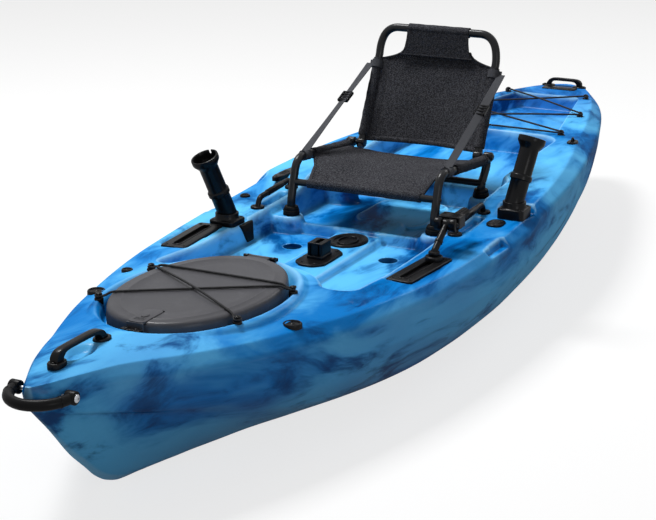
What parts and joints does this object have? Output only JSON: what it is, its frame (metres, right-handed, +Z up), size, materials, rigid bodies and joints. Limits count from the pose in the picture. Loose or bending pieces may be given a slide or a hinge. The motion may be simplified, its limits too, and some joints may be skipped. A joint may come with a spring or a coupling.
{
  "type": "fishing kayak",
  "caption": "Sit-on-top fishing kayak: a hollow marbled hull with an oval bow hatch, a folding framed seat, rod holders, a track mount, handles and shock-cord lashing.",
  "frame": {"origin": "middle of the flat bottom, half way along the hull", "axes": "+Y towards the stern, +Z up, +X to the side with the track mount"},
  "size_m": [0.91, 3.3821, 0.7639],
  "materials": {
    "hull": "rotomoulded polyethylene, marbled sky blue, mid blue, navy and violet grey, satin",
    "lid": "charcoal, fine grained",
    "fitting": "black satin moulding",
    "rubber": "black, smooth",
    "tube": "black powder coat, satin",
    "fabric": "near-black woven mesh",
    "webbing": "dark grey woven webbing",
    "cord": "black braided shock cord",
    "steel": "plain"
  },
  "bodies": {
    "hull": {"hull": "hull", "hatch_hinge": "fitting", "latch_catch": "fitting", "hatch_hook_front_left": "fitting", "hatch_hook_front_right": "fitting", "hatch_hook_rear_left": "fitting", "hatch_hook_rear_right": "fitting", "bow_handle": "fitting", "bow_grab_bolt_left": "steel", "bow_grab_bolt_right": "steel", "deck_plug_left": "fitting", "deck_plug_right": "fitting", "small_plug_front": "fitting", "small_plug_rear": "fitting", "track_left": "fitting", "track_right": "fitting", "rod_holder_base_left": "fitting", "rod_holder_base_right": "fitting", "side_handle_left": "fitting", "side_handle_right": "fitting", "deck_cover_left": "fitting", "rib_plate_right": "fitting", "accessory_plate": "fitting", "console_bezel": "fitting", "wall_pad_left": "rubber", "pad_eye_left": "fitting", "pad_eye_right": "fitting", "stern_hook_left_front": "fitting", "stern_hook_left_middle": "fitting", "stern_hook_left_rear": "fitting", "stern_hook_right_front": "fitting", "stern_hook_right_middle": "fitting", "stern_hook_right_rear": "fitting", "stern_bungee": "cord", "stern_handle": "fitting", "stern_plate": "fitting", "seat_cup_front_left": "rubber", "seat_cup_rear_left": "rubber", "seat_cup_front_right": "rubber", "seat_cup_rear_right": "rubber"},
    "lid": {"hatch_lid": "lid", "hatch_gasket": "rubber", "hatch_cord": "cord"},
    "latch": {"hatch_latch": "lid"},
    "bow_grab": {"bow_grab_handle": "rubber"},
    "carriage": {"mount_carriage": "fitting"},
    "post": {"mount_post": "fitting"},
    "head": {"mount_head": "fitting"},
    "knob": {"mount_knob": "rubber"},
    "rod_tube_left": {"rod_holder_tube_left": "fitting"},
    "rod_tube_right": {"rod_holder_tube_right": "fitting"},
    "seat": {"seat_frame": "tube", "seat_sling": "fabric", "strap_left": "webbing", "strap_right": "webbing"},
    "back": {"back_hoop": "tube", "back_panel": "fabric", "strap_buckle_left": "fitting", "strap_buckle_right": "fitting"}
  },
  "joints": [
    {"name": "hatch_opening", "type": "hinge", "parent": "hull", "child": "lid", "pos_m": [0, -0.69492, 0.35], "axis": [-1, 0, 0], "range_deg": [0, 100]},
    {"name": "latch_lift", "type": "hinge", "parent": "lid", "child": "latch", "pos_m": [0, -1.17802, 0.3585], "axis": [-1, 0, 0], "range_deg": [0, 80]},
    {"name": "bow_grab_swing", "type": "hinge", "parent": "hull", "child": "bow_grab", "pos_m": [0, -1.62006, 0.317], "axis": [-1, 0, 0], "range_deg": [-50, 100]},
    {"name": "mount_travel", "type": "slide", "parent": "hull", "child": "carriage", "axis": [0.0691, 0.9976, 0], "range_m": [-0.157, 0]},
    {"name": "mount_swivel", "type": "hinge", "parent": "carriage", "child": "post", "pos_m": [0.34352, -0.3826, 0.32], "axis": [0, 0, 1], "range_deg": [-100, 100]},
    {"name": "mount_tilt", "type": "hinge", "parent": "post", "child": "head", "pos_m": [0.34352, -0.30306, 0.38045], "axis": [1, 0, 0], "range_deg": [-12, 60]},
    {"name": "mount_knob_turn", "type": "hinge", "parent": "head", "child": "knob", "pos_m": [0.34352, -0.24306, 0.38045], "axis": [0, 1, 0], "continuous": true},
    {"name": "rod_holder_turn_left", "type": "hinge", "parent": "hull", "child": "rod_tube_left", "pos_m": [-0.322, -0.2988, 0.35], "axis": [0, 0, 1], "continuous": true},
    {"name": "rod_holder_turn_right", "type": "hinge", "parent": "hull", "child": "rod_tube_right", "pos_m": [0.392, 0.07202, 0.37], "axis": [0, 0, 1], "continuous": true},
    {"name": "seat_lift_out", "type": "slide", "parent": "hull", "child": "seat", "axis": [0, 0, 1], "range_m": [0, 0.12]},
    {"name": "back_fold", "type": "hinge", "parent": "seat", "child": "back", "pos_m": [0, 0.29614, 0.416], "axis": [1, 0, 0], "range_deg": [0, 50], "deforming": ["strap_left", "strap_right"]}
  ]
}
